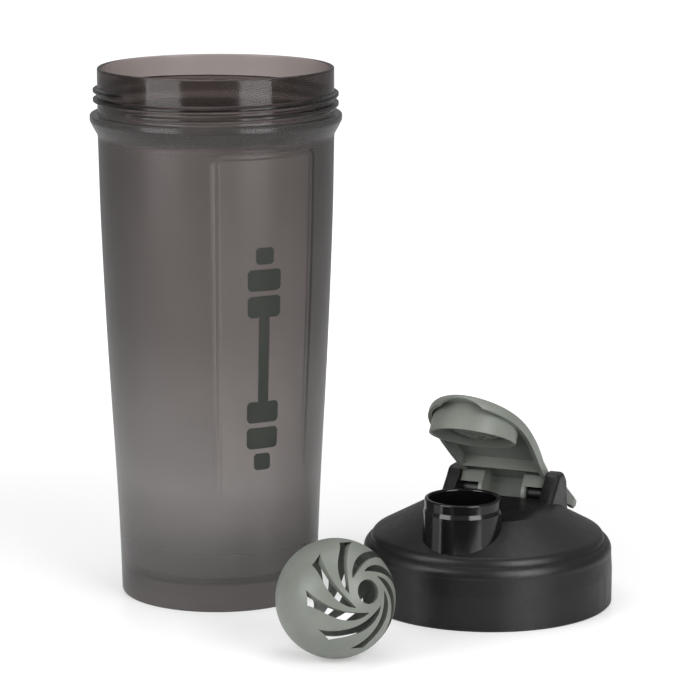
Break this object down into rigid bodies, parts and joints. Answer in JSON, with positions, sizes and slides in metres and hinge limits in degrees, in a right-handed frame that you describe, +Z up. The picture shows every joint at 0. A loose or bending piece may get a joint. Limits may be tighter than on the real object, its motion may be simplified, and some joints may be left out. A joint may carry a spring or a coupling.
{
  "type": "protein shaker bottle",
  "caption": "Tall tapered translucent shaker cup with a threaded neck, its screw lid with spout and flip cap standing beside it, and a slotted hollow mixing ball in front.",
  "frame": {"origin": "centre of the cup's foot ring, on the surface that the cup, the lid and the ball stand on", "axes": "+Z up along the cup's axis; the lid stands towards +X and the mixing ball towards -Y"},
  "size_m": [0.1999, 0.1647, 0.204],
  "materials": {
    "cup_plastic": "satin frosted translucent smoke-grey polypropylene, glossier on the neck",
    "lid_plastic": "black polypropylene with a fine moulded texture, glossy on the spout and hinge ears",
    "cap_plastic": "grey-green polypropylene, satin",
    "seal_rubber": "soft black silicone, smooth",
    "spout_seal": "soft grey-green silicone, smooth",
    "ball_plastic": "grey-green polypropylene, matte"
  },
  "bodies": {
    "cup_body": {"cup": "cup_plastic"},
    "gasket_body": {"lid_gasket": "seal_rubber"},
    "lid_body": {"lid_shell": "lid_plastic"},
    "cap_body": {"flip_cap": "cap_plastic", "spout_seal": "spout_seal"},
    "ball_body": {"ball_half_a": "ball_plastic", "ball_half_b": "ball_plastic"}
  },
  "joints": [
    {"name": "lid_lift", "type": "slide", "parent": "cup_body", "child": "gasket_body", "axis": [0, 0, 1], "range_m": [0, 0.25]},
    {"name": "lid_turn", "type": "hinge", "parent": "gasket_body", "child": "lid_body", "pos_m": [0.1039, -0.017, 0], "axis": [0, 0, 1], "continuous": true},
    {"name": "cap_hinge", "type": "hinge", "parent": "lid_body", "child": "cap_body", "pos_m": [0.11155, 0.00148, 0.038], "axis": [-0.9239, 0.3827, 0], "range_deg": [-36, 0]},
    {"name": "ball_lift", "type": "slide", "parent": "cup_body", "child": "ball_body", "axis": [0, 0, 1], "range_m": [0, 0.25]}
  ]
}
